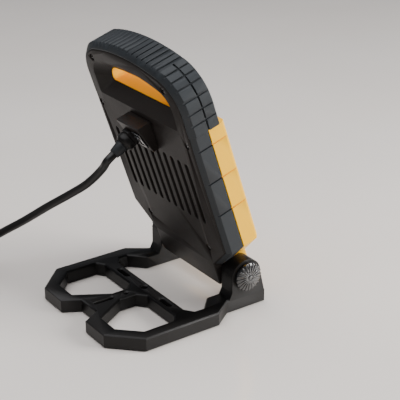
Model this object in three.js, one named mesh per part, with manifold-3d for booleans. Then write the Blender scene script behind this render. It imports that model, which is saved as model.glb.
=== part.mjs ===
// A mains LED work light: a slab-shaped head with a carrying handle, tilting between two lugs of a flat stand.
// Millimetres, +Z up. X is the width, -Y is the side that the light shines to, and Z = 0 is the floor.
import * as THREE from 'three';
import { mergeGeometries, mergeVertices } from 'three/addons/utils/BufferGeometryUtils.js';
import Module from 'manifold-3d';

const wasm = await Module();
wasm.setup();
const DEG = Math.PI / 180;

// ---------------------------------------------------------------- driving dimensions

const GAP = 0.3; // between two pieces that touch
const WALL = 3; // moulded housing walls

// Stand: y is measured from the tilt axis, towards the back.
const STAND_HALF_WIDTH = 90;
const STAND_THICKNESS = 15.5;
const STAND_CHAMFER = 1.5;
const STAND_REAR = 163; // tilt axis to the rear edge
const STAND_FRONT = 24.2; // tilt axis to the front of the lugs
const STAND_CORNER = 30; // 45 degree corners at the rear
const STAND_RAIL = 14; // bars around the holes of the two lobes
const CROSSBAR_FRONT = 69.7; // the crossbar's front and rear edges
const CROSSBAR_REAR = 84.8;
const SHOULDER = 45.3; // where the wide part of the stand begins
const NOTCH_DEPTH = 18.2; // cable notch in the rear edge
const NOTCH_HALF_MOUTH = 25;
const NOTCH_HALF_FLOOR = 14.6;

// Tilt joint
const AXIS_HEIGHT = 37.5;
const LUG_RADIUS = 18;
const LUG_THICKNESS = 18.4;
const LUG_CLEARANCE = 1.5; // from the lugs' rounded tops to the wide part of the head
const TONGUE_HALF_WIDTH = 54;
const WASHER_THICKNESS = 1.8;
const STUD_RADIUS = 3;
const KNOB_RADIUS = 15.5;
const KNOB_THICKNESS = 7;
const KNOB_RIBS = 20;
const NUT_RADIUS = 5.8; // across the corners
const NUT_THICKNESS = 5;
const TILT = 18.3 * DEG; // the head leans back by this at rest

// Head: x is the width, n runs from front to back, v runs up the head, both from the tilt axis.
const HEAD_HALF_WIDTH = 88;
const HEAD_TOP = 255.5;
const HEAD_BOTTOM = -10;
const HEAD_CORNER = 38; // corner radius at the top
const SHOULDER_V = HEAD_TOP - 44.5; // where the top corners begin
const TONGUE_CORNER = 5; // chamfer at the foot of the head
const TAPER_LOW = LUG_RADIUS - 1; // where the tongue widens, and where it has reached full width
const TAPER_HIGH = LUG_RADIUS + 27;
const BUMPER_THICKNESS = 4.5;
const BUMPER_PROUD = 2; // the upper bumper stands this proud of the sides
const UPPER_BUMPER_LOW = HEAD_TOP - 69.5;
const UPPER_BUMPER_FRONT = -13.5;
const BUMPER_BACK = 20;
const BUMPER_BEVEL = 5;
const COVER_BACK = 21;
const SHELL_FRONT = -20;
const BLOCK_PITCH = (UPPER_BUMPER_LOW - 72) / 3; // blocks down the sides
const FIRST_GROOVE = UPPER_BUMPER_LOW - 16.5 - 2 * BLOCK_PITCH;
const SIDE_GROOVES = 3;
const GROOVE_WIDTH = 1.8;
const GROOVE_DEPTH = 1.6;
const TREAD_PITCH = 12.4; // blocks of the upper bumper, then fine ribs over the top
const TREAD_ROWS = 4;
const RIB_PITCH = 8.9; // ribs round the corners, above the blocks
const RIB_COUNT = 15;

// Handle opening, and the finger scoop around it on the back
const OPENING_HALF_WIDTH = HEAD_HALF_WIDTH - 35;
const OPENING_LOW = HEAD_TOP - 50.5;
const OPENING_TOP = HEAD_TOP - 31.5;
const OPENING_CORNER = 14;
const SCOOP_LOW = HEAD_TOP - 65.5;
const SCOOP_MARGIN = 17.5; // from the head's outer edge to the scoop
const SCOOP_FLOOR = 10.7;

// Vents
const VENT_COUNT = 11;
const VENT_PITCH = HEAD_HALF_WIDTH / 7;
const VENT_WIDTH = 6;
const VENT_LOW = 77;
const VENT_HIGH = HEAD_TOP - 105.5;

// Light engine
const WINDOW_HALF_WIDTH = HEAD_HALF_WIDTH - 18;
const WINDOW_LOW = TAPER_HIGH + 13;
const WINDOW_HIGH = HEAD_TOP - 90.5;
const WINDOW_CORNER = 10;
const LENS_BITE = 5; // how far the lens reaches behind the window's rim
const GASKET_THICKNESS = 1.5;
const GASKET_WIDTH = 3.5;
const LENS_THICKNESS = 3;
const REFLECTOR_DEPTH = 9;
const BOARD_THICKNESS = 1.6;
const BOARD_INSET = 9; // the board is this much smaller than the window, all round
const LED_SIZE = 5;
const LED_HEIGHT = 0.9;
const LED_COLUMNS = 10;
const LED_ROWS = 10;
const SINK_BASE = 4;
const FIN_THICKNESS = 2;
const FIN_REACH = 13;
const SINK_SCREW_INSET = 3.5;

// Housing screws
const SCREW_RADIUS = 2;
const SCREW_HEAD_RADIUS = 3.5;
const SCREW_HEAD_HEIGHT = 2.4;
const SCREW_SINK = 1.2; // below the cover's surface
const BOSS_RADIUS = 5;
const COVER_SCREWS = [
  [HEAD_HALF_WIDTH - 11, HEAD_TOP - 79.5],
  [HEAD_HALF_WIDTH - 24.5, HEAD_TOP - 22],
  [HEAD_HALF_WIDTH - 34, TAPER_HIGH - 3],
];

// Junction box on the cover, with the switch and the cable gland
const BOX_LOW = HEAD_TOP - 103.5;
const BOX_HIGH = BOX_LOW + 32;
const BOX_DEPTH_LOW = 7; // how far the box stands off the cover at its lower and upper edge
const BOX_DEPTH_HIGH = 17;
const BOX_WALL = 2.2;
const SWITCH_X = -11;
const SWITCH_WIDTH = 13;
const SWITCH_LENGTH = 19;
const SWITCH_DEPTH = 9;
const SWITCH_RIM = 1.4;
const ROCKER_THROW = 20 * DEG;
const ROCKER_PIVOT_DEPTH = 1; // below the box's face
const GLAND_X = 7;
const GLAND_DROP = 2;
const GLAND_NUT_LENGTH = 10;
const RELIEF_LENGTH = 22;
const CORD_DIAMETER = 8.5;
const GLAND_THREAD = CORD_DIAMETER / 2 + 3.25;
const GLAND_HEX = GLAND_THREAD + 3;
const GLAND_NUT_RADIUS = GLAND_THREAD + 2.3;
const BOX_HALF_WIDTH = GLAND_THREAD + 12;

// Free cord. From the gland to the bench: the shares of the way across, back and down that are done at each point.
const CORD_DROP = [
  [0.043, 0.067, 0.093], [0.138, 0.134, 0.214], [0.25, 0.216, 0.315], [0.391, 0.323, 0.433],
  [0.552, 0.437, 0.573], [0.699, 0.567, 0.697], [0.788, 0.645, 0.782], [0.866, 0.728, 0.868],
  [0.926, 0.819, 0.94], [0.97, 0.913, 0.985], [1, 1, 1],
];
const COIL_CENTRE = [130, STAND_REAR + 102];
const COIL_RADIUS = 47; // middle of the turns
const COIL_COLUMNS = 2;
const COIL_ROWS = 3;
const LANDING = -33 * DEG; // where the cord reaches the coil, around it, just outside the turns
const TIE_THICKNESS = 1.2;
const TIE_PLACE = 245 * DEG; // around the coil
const TIE_WIDTH = 12;
// From the coil to the plug: degrees around the coil, radius, and how much of the climb onto it is done.
const CORD_TAIL = [
  [320, 47, 0], [333, 47, 0], [345, 47, 0.015], [360.3, 46.6, 0.073],
  [375.9, 45, 0.219], [391.9, 42.6, 0.438], [409, 39.5, 0.701], [427.2, 35.8, 0.927],
  [443.2, 34.2, 1], [453.3, 34.5, 1],
];
const PLUG_RADIUS = 18;
const PLUG_LENGTH = 38;
const PLUG_SLEEVE = 24;
const PIN_RADIUS = 2.4;
const PIN_LENGTH = 19;
const PIN_SPACING = 19;

// ---------------------------------------------------------------- solids

const toManifold = (geometry) => {
  if (geometry instanceof wasm.Manifold) return geometry;
  const bare = geometry.index ? geometry.toNonIndexed() : geometry.clone();
  bare.deleteAttribute('normal');
  bare.deleteAttribute('uv');
  const merged = mergeVertices(bare, 1e-4);
  const triangles = [];
  for (let i = 0; i < merged.index.count; i += 3) {
    const [a, b, c] = merged.index.array.slice(i, i + 3);
    if (a !== b && b !== c && c !== a) triangles.push(a, b, c);
  }
  const mesh = new wasm.Mesh({
    numProp: 3,
    vertProperties: new Float32Array(merged.attributes.position.array),
    triVerts: new Uint32Array(triangles),
  });
  return new wasm.Manifold(mesh);
};

const toGeometry = (manifold) => {
  const mesh = manifold.getMesh();
  const geometry = new THREE.BufferGeometry();
  geometry.setAttribute('position', new THREE.BufferAttribute(new Float32Array(mesh.vertProperties), 3));
  geometry.setIndex(new THREE.BufferAttribute(new Uint32Array(mesh.triVerts), 1));
  geometry.computeVertexNormals();
  return geometry;
};

// A body that is joined with some, cut by others, and kept inside one more, step by step.
const solid = (base, ...steps) => {
  let result = toManifold(base);
  for (const { add = [], cut = [], keep = null } of steps) {
    for (const g of add) result = result.add(toManifold(g));
    for (const g of cut) result = result.subtract(toManifold(g));
    if (keep) result = result.intersect(toManifold(keep));
  }
  return result;
};

const shape = (base, ...steps) => toGeometry(solid(base, ...steps));

// ---------------------------------------------------------------- outlines, as lists of [x, y] in counter-clockwise order

const arc = (cx, cy, radius, from, to, steps) =>
  Array.from({ length: steps + 1 }, (_, i) => {
    const a = from + ((to - from) * i) / steps;
    return [cx + radius * Math.cos(a), cy + radius * Math.sin(a)];
  });

const circle = (cx, cy, radius, sides = 24) => arc(cx, cy, radius, 0, 2 * Math.PI, sides).slice(0, -1);

const mirrored = (half) => [...half, ...half.map(([x, y]) => [-x, y]).reverse()];

const rounded = (x0, y0, x1, y1, r, steps = 4) => [
  ...arc(x1 - r, y0 + r, r, -Math.PI / 2, 0, steps),
  ...arc(x1 - r, y1 - r, r, 0, Math.PI / 2, steps),
  ...arc(x0 + r, y1 - r, r, Math.PI / 2, Math.PI, steps),
  ...arc(x0 + r, y0 + r, r, Math.PI, 1.5 * Math.PI, steps),
];

// Each side moved inwards by a distance, corners mitred, with the same number of points.
const inset = (points, distance) =>
  points.map((p, i) => {
    const a = points[(i + points.length - 1) % points.length];
    const b = points[(i + 1) % points.length];
    const [ux, uy] = unit(p[0] - a[0], p[1] - a[1]);
    const [wx, wy] = unit(b[0] - p[0], b[1] - p[1]);
    const stretch = distance / (1 + ux * wx + uy * wy);
    return [p[0] - (uy + wy) * stretch, p[1] + (ux + wx) * stretch];
  });

const unit = (x, y) => {
  const length = Math.hypot(x, y);
  return [x / length, y / length];
};

const toVectors = (points) => points.map(([x, y]) => new THREE.Vector2(x, y));

const toShape = (points, holes = []) => {
  const result = new THREE.Shape(toVectors(points));
  result.holes = holes.map((h) => new THREE.Path(toVectors(h)));
  return result;
};

const extrude = (points, depth, holes = []) =>
  new THREE.ExtrudeGeometry(toShape(points, holes), { depth, bevelEnabled: false });

// A solid through closed rings of points with the same count: [outline, height] from bottom to top along z.
const loft = (rings) => {
  const count = rings[0][0].length;
  const positions = rings.flatMap(([points, z]) => points.flatMap(([x, y]) => [x, y, z]));
  const index = [];
  for (let r = 0; r + 1 < rings.length; r += 1) {
    for (let i = 0; i < count; i += 1) {
      const a = r * count + i;
      const b = r * count + ((i + 1) % count);
      index.push(a, b, b + count, a, b + count, a + count);
    }
  }
  for (const [a, b, c] of THREE.ShapeUtils.triangulateShape(toVectors(rings[0][0]), [])) index.push(c, b, a);
  const last = (rings.length - 1) * count;
  for (const [a, b, c] of THREE.ShapeUtils.triangulateShape(toVectors(rings.at(-1)[0]), [])) {
    index.push(last + a, last + b, last + c);
  }
  const geometry = new THREE.BufferGeometry();
  geometry.setAttribute('position', new THREE.Float32BufferAttribute(positions, 3));
  geometry.setIndex(index);
  return geometry;
};

const box = (x0, x1, y0, y1, z0, z1) =>
  new THREE.BoxGeometry(x1 - x0, y1 - y0, z1 - z0).translate((x0 + x1) / 2, (y0 + y1) / 2, (z0 + z1) / 2);

// A disc or ring turned about z, from z0 to z1.
const turned = (profile, sides = 32) => {
  const ring = profile[0][0] > 0 || profile.at(-1)[0] > 0;
  return new THREE.LatheGeometry(toVectors(ring ? [...profile, profile[0]] : profile), sides).rotateX(Math.PI / 2);
};

const rod = (radius, z0, z1, sides = 24) => turned([[0, z0], [radius, z0], [radius, z1], [0, z1]], sides);

const tube = (inner, outer, z0, z1, sides = 24) =>
  turned([[inner, z0], [outer, z0], [outer, z1], [inner, z1]], sides);

// From a shape drawn with z as its depth to one whose depth runs along x, drawn in (y, z).
const alongX = (geometry) => geometry.rotateY(Math.PI / 2).rotateX(Math.PI / 2);

// From (x, v) with z as its depth to the head's axes, where the depth n runs along y.
const toHead = (geometry, nBack) => geometry.rotateX(Math.PI / 2).translate(0, nBack, 0);

// A head piece from n = front to n = back with an outline in (x, v).
const slab = (points, front, back, holes = []) => toHead(extrude(points, back - front, holes), back);

// The same with bevels towards the front and the back.
const bevelledSlab = (points, front, back, frontBevel, backBevel) =>
  toHead(
    loft([
      [inset(points, backBevel), 0],
      [points, backBevel],
      [points, back - front - frontBevel],
      [inset(points, frontBevel), back - front],
    ]),
    back,
  );

// ---------------------------------------------------------------- materials

const material = (color, roughness, metalness = 0) =>
  new THREE.MeshStandardMaterial({ color, roughness, metalness });

const BLACK_PLASTIC = () => material(0x1d1b19, 0.55);
const RUBBER = () => material(0x17181a, 0.7);
const YELLOW_PLASTIC = () => material(0xf2a900, 0.4);
const STEEL = () => material(0xa7a9ab, 0.35, 1);
const ALUMINIUM = () => material(0xb9bcbf, 0.45, 1);
const WHITE_PLASTIC = () => material(0xf1f1ee, 0.5);
const GLASS = () => material(0xe8f0f2, 0.1);
const NICKEL = () => material(0xc9c7c1, 0.25, 1);

const part = (name, geometry, finish, parent) => {
  const mesh = new THREE.Mesh(geometry, finish);
  mesh.name = name;
  parent.add(mesh);
  return mesh;
};

const SIDES = [['left', -1], ['right', 1]];

// ---------------------------------------------------------------- frames of the two halves

const light = new THREE.Group();
const stand = new THREE.Group();
const head = new THREE.Group();
const DEPTH_CENTRE = (STAND_REAR - STAND_FRONT) / 2;
stand.position.y = -DEPTH_CENTRE;
head.position.set(0, -DEPTH_CENTRE, AXIS_HEIGHT);
head.rotation.x = -TILT;
light.add(stand, head);

// ---------------------------------------------------------------- stand

const LUG_INNER = TONGUE_HALF_WIDTH + WASHER_THICKNESS + 2 * GAP;
const LUG_OUTER = LUG_INNER + LUG_THICKNESS;

const makeStand = () => {
  const outline = mirrored([
    [NOTCH_HALF_FLOOR, STAND_REAR - NOTCH_DEPTH],
    [NOTCH_HALF_MOUTH, STAND_REAR],
    [STAND_HALF_WIDTH - STAND_CORNER, STAND_REAR],
    [STAND_HALF_WIDTH, STAND_REAR - STAND_CORNER],
    [STAND_HALF_WIDTH, SHOULDER],
    [LUG_OUTER, SHOULDER - 1.4 * (STAND_HALF_WIDTH - LUG_OUTER)],
    [LUG_OUTER, -STAND_FRONT],
    [LUG_INNER, -STAND_FRONT],
    [LUG_INNER, 37],
    [LUG_OUTER - 1.8, 52.6],
    [LUG_OUTER - 2.5, 63.5],
    [LUG_OUTER - 11.3, CROSSBAR_FRONT],
  ]).reverse();
  const outer = STAND_HALF_WIDTH - STAND_RAIL;
  const lobe = [
    [8, 93], [17.5, CROSSBAR_REAR], [outer - 9, CROSSBAR_REAR], [outer, CROSSBAR_REAR + 6],
    [outer, STAND_REAR - STAND_CORNER - 6.5], [outer - 20, STAND_REAR - STAND_RAIL - 2],
    [NOTCH_HALF_MOUTH + 4, STAND_REAR - STAND_RAIL - 2], [8, 112],
  ];
  const barMiddle = (CROSSBAR_FRONT + CROSSBAR_REAR) / 2;
  const lobes = [lobe, lobe.map(([x, y]) => [-x, y]).reverse()];
  const openings = [
    ...lobes,
    rounded(-2.6, 115, 2.6, 139, 2.5),
    circle(0, 100, 2.6, 16),
    circle(0, barMiddle, 3.6, 20),
    rounded(30, barMiddle - 2.6, 50, barMiddle + 2.6, 2.5),
    rounded(-50, barMiddle - 2.6, -30, barMiddle + 2.6, 2.5),
  ];
  const plate = new THREE.ExtrudeGeometry(toShape(outline, openings), {
    depth: STAND_THICKNESS - 2 * STAND_CHAMFER,
    bevelThickness: STAND_CHAMFER,
    bevelSize: STAND_CHAMFER,
    bevelOffset: -STAND_CHAMFER,
    bevelSegments: 1,
  }).translate(0, 0, STAND_CHAMFER);
  const lugOutline = [
    [-STAND_FRONT, 1], [STAND_FRONT - 1.6, 1], [STAND_FRONT - 1.6, 12], [LUG_RADIUS, 22],
    ...arc(0, AXIS_HEIGHT, LUG_RADIUS, 0, Math.PI, 20), [-STAND_FRONT, 12],
  ];
  const lugs = SIDES.map(([, s]) =>
    alongX(extrude(lugOutline, LUG_THICKNESS)).translate(s > 0 ? LUG_INNER : -LUG_OUTER, 0, 0));
  const bore = alongX(rod(STUD_RADIUS + GAP, -LUG_OUTER - 1, LUG_OUTER + 1)).translate(0, 0, AXIS_HEIGHT);
  part('stand_frame', shape(plate, { add: lugs, cut: [bore] }), BLACK_PLASTIC(), stand);
};

// ---------------------------------------------------------------- tilt knobs, studs, washers and nuts

const makeTiltHardware = () => {
  const knobStart = LUG_OUTER + GAP;
  const studEnd = knobStart + KNOB_THICKNESS - 2;
  const nutStart = TONGUE_HALF_WIDTH - WALL - 2 * GAP - NUT_THICKNESS;
  const ribs = Array.from({ length: 4 * KNOB_RIBS }, (_, i) => {
    const radius = i % 4 < 2 ? KNOB_RADIUS : KNOB_RADIUS - 1.6;
    const a = (i * Math.PI) / (2 * KNOB_RIBS);
    return [radius * Math.cos(a), radius * Math.sin(a)];
  });
  const hexagon = circle(0, 0, NUT_RADIUS, 6);
  for (const [side, s] of SIDES) {
    const place = (geometry) => {
      const result = alongX(geometry).translate(0, 0, AXIS_HEIGHT);
      return s > 0 ? result : result.rotateZ(Math.PI);
    };
    const knob = loft([
      [ribs, knobStart],
      [ribs, knobStart + KNOB_THICKNESS - 2.5],
      [ribs.map(([x, y]) => [x * 0.72, y * 0.72]), knobStart + KNOB_THICKNESS],
    ]);
    const socket = rod(STUD_RADIUS + GAP, knobStart - 1, studEnd + GAP);
    part(`knob_${side}`, place(shape(knob, { cut: [socket] })), BLACK_PLASTIC(), stand);
    part(`stud_${side}`, place(rod(STUD_RADIUS, nutStart, studEnd)), STEEL(), stand);
    const washerStart = TONGUE_HALF_WIDTH + GAP;
    part(`friction_washer_${side}`,
      place(tube(STUD_RADIUS + GAP, LUG_RADIUS - 4, washerStart, washerStart + WASHER_THICKNESS, 32)),
      RUBBER(), stand);
    const nut = extrude(hexagon, NUT_THICKNESS, [circle(0, 0, STUD_RADIUS + GAP)]).translate(0, 0, nutStart);
    part(`tilt_nut_${side}`, place(nut), STEEL(), stand);
  }
};

// ---------------------------------------------------------------- outlines of the head

// A closed outline with an arched top: the crown is the circle that meets both corner arcs smoothly.
const arched = ({ half, top, corner, shoulder, foot }) => {
  const cx = half - corner;
  const rise = top - shoulder;
  const crown = (cx ** 2 + rise ** 2 - corner ** 2) / (2 * (rise - corner));
  const angle = Math.atan2(cx, shoulder - (top - crown));
  const side = [
    ...foot,
    ...arc(cx, shoulder, corner, 0, Math.PI / 2 - angle, 10),
    ...arc(0, top - crown, crown, Math.PI / 2 - angle, Math.PI / 2, 8).slice(1, -1),
  ];
  const outline = mirrored(side);
  outline.splice(side.length, 0, [0, top]);
  return { outline, crown, angle };
};

const TONGUE_EDGE = TONGUE_HALF_WIDTH + BUMPER_THICKNESS;
const { outline: EDGE, crown: CROWN_RADIUS, angle: CROWN_ANGLE } = arched({
  half: HEAD_HALF_WIDTH,
  top: HEAD_TOP,
  corner: HEAD_CORNER,
  shoulder: SHOULDER_V,
  foot: [
    [TONGUE_EDGE - TONGUE_CORNER, HEAD_BOTTOM - BUMPER_THICKNESS],
    [TONGUE_EDGE, HEAD_BOTTOM - BUMPER_THICKNESS + TONGUE_CORNER],
    [TONGUE_EDGE, TAPER_LOW],
    [HEAD_HALF_WIDTH, TAPER_HIGH],
  ],
});
const COVER_EDGE = inset(EDGE, BUMPER_THICKNESS + GAP);
const BLOCK_LOW = LUG_RADIUS + LUG_CLEARANCE; // the side blocks begin here
const cornerX = HEAD_HALF_WIDTH - HEAD_CORNER;
const crownV = HEAD_TOP - CROWN_RADIUS;

const opening = (half, low, top, corner, shoulder) =>
  arched({ half, top, corner, shoulder, foot: [[half - 2, low], [half, low + 2]] }).outline;
const OPENING = opening(
  OPENING_HALF_WIDTH, OPENING_LOW, OPENING_TOP, OPENING_CORNER, OPENING_TOP - OPENING_CORNER - 2,
);
const SCOOP = opening(
  HEAD_HALF_WIDTH - SCOOP_MARGIN, SCOOP_LOW, HEAD_TOP - SCOOP_MARGIN, HEAD_CORNER - SCOOP_MARGIN, SHOULDER_V,
);

const screwPlaces = COVER_SCREWS.flatMap(([x, v]) => [[-x, v], [x, v]]);
const alongN = (geometry, x, v) => geometry.rotateX(-Math.PI / 2).translate(x, 0, v);

// ---------------------------------------------------------------- rear cover

const boxInner = BOX_HALF_WIDTH - BOX_WALL;
const makeRearCover = () => {
  const backWall = COVER_BACK - WALL;
  const body = bevelledSlab(COVER_EDGE, GAP, COVER_BACK, 0.01, 1);
  const hollow = slab(inset(COVER_EDGE, WALL), -1, backWall);
  const funnelBack = inset(SCOOP, -WALL);
  const funnelFront = inset(OPENING, -WALL);
  const funnel = toHead(loft([[funnelBack, 0], [funnelFront, backWall - SCOOP_FLOOR + 1]]), backWall + 1);
  const scoop = toHead(
    loft([[inset(SCOOP, -0.1), 0], [OPENING, COVER_BACK - SCOOP_FLOOR + 0.2]]),
    COVER_BACK + 0.1,
  );
  const bosses = screwPlaces.map(([x, v]) => alongN(rod(BOSS_RADIUS, GAP, backWall + 1, 20), x, v));
  const screwHoles = screwPlaces.flatMap(([x, v]) => [
    alongN(rod(SCREW_RADIUS + GAP, -1, COVER_BACK + 1, 16), x, v),
    alongN(rod(SCREW_HEAD_RADIUS + GAP, COVER_BACK - SCREW_SINK - SCREW_HEAD_HEIGHT - GAP, COVER_BACK + 1, 20), x, v),
  ]);
  const vents = Array.from({ length: VENT_COUNT }, (_, i) => {
    const x = (i - (VENT_COUNT - 1) / 2) * VENT_PITCH;
    const outline = rounded(x - VENT_WIDTH / 2, VENT_LOW, x + VENT_WIDTH / 2, VENT_HIGH, VENT_WIDTH / 2 - 0.05, 3);
    return slab(outline, backWall - 1, COVER_BACK + 1);
  });
  const wireway = slab(rounded(-boxInner + 3, BOX_LOW + 5, boxInner - 3, BOX_HIGH - 5, 2), backWall - 1, COVER_BACK + 1);
  const studHole = alongX(rod(STUD_RADIUS + GAP, -TONGUE_EDGE, TONGUE_EDGE));
  const geometry = shape(
    body,
    { cut: [hollow] },
    { add: [funnel, ...bosses], cut: [scoop, ...screwHoles, ...vents, wireway, studHole] },
  );
  part('rear_cover', geometry, BLACK_PLASTIC(), head);
};

// ---------------------------------------------------------------- front shell

const lensFace = SHELL_FRONT + WALL + GAP + GASKET_THICKNESS + GAP; // the lens's front face
const reflectorFront = lensFace + LENS_THICKNESS + GAP;
const reflectorBack = reflectorFront + REFLECTOR_DEPTH;
const boardFront = reflectorBack - BOARD_THICKNESS - GAP;
const sinkFront = reflectorBack + GAP;
const windowOutline = (grow) => {
  const r = Math.max(WINDOW_CORNER + grow, 1);
  return rounded(-WINDOW_HALF_WIDTH - grow, WINDOW_LOW - grow, WINDOW_HALF_WIDTH + grow, WINDOW_HIGH + grow, r);
};

// Grooves across the side blocks, from n = front to n = back.
const sideGrooves = (front, back) =>
  SIDES.flatMap(([, s]) =>
    Array.from({ length: SIDE_GROOVES }, (_, i) => {
      const v = FIRST_GROOVE + i * BLOCK_PITCH;
      const x0 = HEAD_HALF_WIDTH - GROOVE_DEPTH;
      return box(x0, x0 + 10, front, back, v - GROOVE_WIDTH / 2, v + GROOVE_WIDTH / 2)
        .rotateZ(s > 0 ? 0 : Math.PI)
        .translate(0, s > 0 ? 0 : front + back, 0);
    }));

// Above the side blocks the handle is slimmer, and the front steps back to the upper bumper's front edge.
const frontAt = (v) => (v > UPPER_BUMPER_LOW ? UPPER_BUMPER_FRONT : SHELL_FRONT);

const makeFrontShell = () => {
  const blockZone = box(-200, 200, -100, 100, BLOCK_LOW, UPPER_BUMPER_LOW);
  const lowZone = box(-200, 200, -100, 100, -100, UPPER_BUMPER_LOW);
  const lowHollowZone = box(-200, 200, -100, 100, -100, UPPER_BUMPER_LOW - WALL);
  const blocks = solid(bevelledSlab(EDGE, SHELL_FRONT, -GAP, 3, 0.01), { keep: blockZone });
  const lowCore = solid(bevelledSlab(COVER_EDGE, SHELL_FRONT, -GAP, 2, 0.01), { keep: lowZone });
  const core = bevelledSlab(COVER_EDGE, UPPER_BUMPER_FRONT, -GAP, 2, 0.01);
  const inner = inset(COVER_EDGE, WALL);
  const hollow = slab(inner, UPPER_BUMPER_FRONT + WALL, 1);
  const lowHollow = solid(slab(inner, SHELL_FRONT + WALL, 1), { keep: lowHollowZone });
  const window = slab(windowOutline(0), SHELL_FRONT - 1, SHELL_FRONT + WALL + 1);
  const liner = slab(inset(OPENING, -WALL), UPPER_BUMPER_FRONT, SCOOP_FLOOR - GAP);
  const hole = slab(OPENING, UPPER_BUMPER_FRONT - 1, SCOOP_FLOOR + 1);
  const bosses = screwPlaces.map(([x, v]) => alongN(rod(BOSS_RADIUS, frontAt(v) + 1, -GAP, 20), x, v));
  const screwHoles = screwPlaces.map(([x, v]) =>
    alongN(rod(SCREW_RADIUS + GAP, frontAt(v) + WALL + 2, 1, 16), x, v));
  const studHole = alongX(rod(STUD_RADIUS + GAP, -TONGUE_EDGE, TONGUE_EDGE));
  const geometry = shape(
    core,
    { add: [lowCore, blocks], cut: [hollow, lowHollow] },
    {
      add: [liner, ...bosses],
      cut: [window, hole, ...screwHoles, studHole, ...sideGrooves(SHELL_FRONT - 1, 1)],
    },
  );
  part('front_shell', geometry, YELLOW_PLASTIC(), head);
};

// ---------------------------------------------------------------- bumpers

const makeSideBumpers = () => {
  const block = bevelledSlab(EDGE, GAP, BUMPER_BACK, 0.6, BUMPER_BEVEL);
  const inner = slab(inset(EDGE, BUMPER_THICKNESS), -1, BUMPER_BACK + 1);
  for (const [side, s] of SIDES) {
    const zone = box(s > 0 ? 1 : -200, s > 0 ? 200 : -1, -100, 100, BLOCK_LOW, UPPER_BUMPER_LOW);
    const geometry = shape(block, { cut: [inner, ...sideGrooves(-1, BUMPER_BACK + 1)], keep: zone });
    part(`side_bumper_${side}`, geometry, RUBBER(), head);
  }
};

const makeUpperBumper = () => {
  const low = UPPER_BUMPER_LOW + GAP;
  const outer = inset(EDGE, -BUMPER_PROUD);
  const inner = slab(inset(EDGE, BUMPER_THICKNESS), -100, 100);
  const body = bevelledSlab(outer, UPPER_BUMPER_FRONT, BUMPER_BACK, 1.5, BUMPER_BEVEL);
  const zone = box(-200, 200, -100, 100, low, 400);
  const cutter = () => box(-GROOVE_WIDTH / 2, GROOVE_WIDTH / 2, -60, 60, -GROOVE_DEPTH, 10);
  const grooves = [];
  const straight = SHOULDER_V - low;
  const pitches = Array.from({ length: TREAD_ROWS }, (_, i) => (i + 1) * TREAD_PITCH);
  const onArc = (a) => a * HEAD_CORNER + straight;
  for (let at = pitches.at(-1) + RIB_PITCH; at < onArc(Math.PI / 2 - CROWN_ANGLE); at += RIB_PITCH) pitches.push(at);
  for (const [, s] of SIDES) {
    for (const at of pitches) {
      const a = Math.max(0, (at - straight) / HEAD_CORNER);
      const r = HEAD_CORNER + BUMPER_PROUD;
      grooves.push(
        cutter()
          .rotateY(s * (90 * DEG - a))
          .translate(s * (cornerX + r * Math.cos(a)), 0, Math.min(low + at, SHOULDER_V) + r * Math.sin(a)),
      );
    }
  }
  for (let i = 0; i < RIB_COUNT; i += 1) {
    const a = (i / (RIB_COUNT - 1) - 0.5) * 2 * CROWN_ANGLE * 0.93;
    const r = CROWN_RADIUS + BUMPER_PROUD;
    grooves.push(cutter().rotateY(a).translate(r * Math.sin(a), 0, crownV + r * Math.cos(a)));
  }
  const middle = cornerX + HEAD_CORNER * Math.sin(CROWN_ANGLE);
  const split = solid(
    slab(inset(EDGE, -BUMPER_PROUD - 1), -GROOVE_WIDTH / 2, GROOVE_WIDTH / 2, [inset(EDGE, GROOVE_DEPTH - BUMPER_PROUD)]),
    { cut: [box(-middle, middle, -10, 10, low - 1, 400)] },
  );
  part('upper_bumper', shape(body, { cut: [inner, split, ...grooves], keep: zone }), RUBBER(), head);
};

// ---------------------------------------------------------------- lens, reflector, LED board and heat sink

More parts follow.
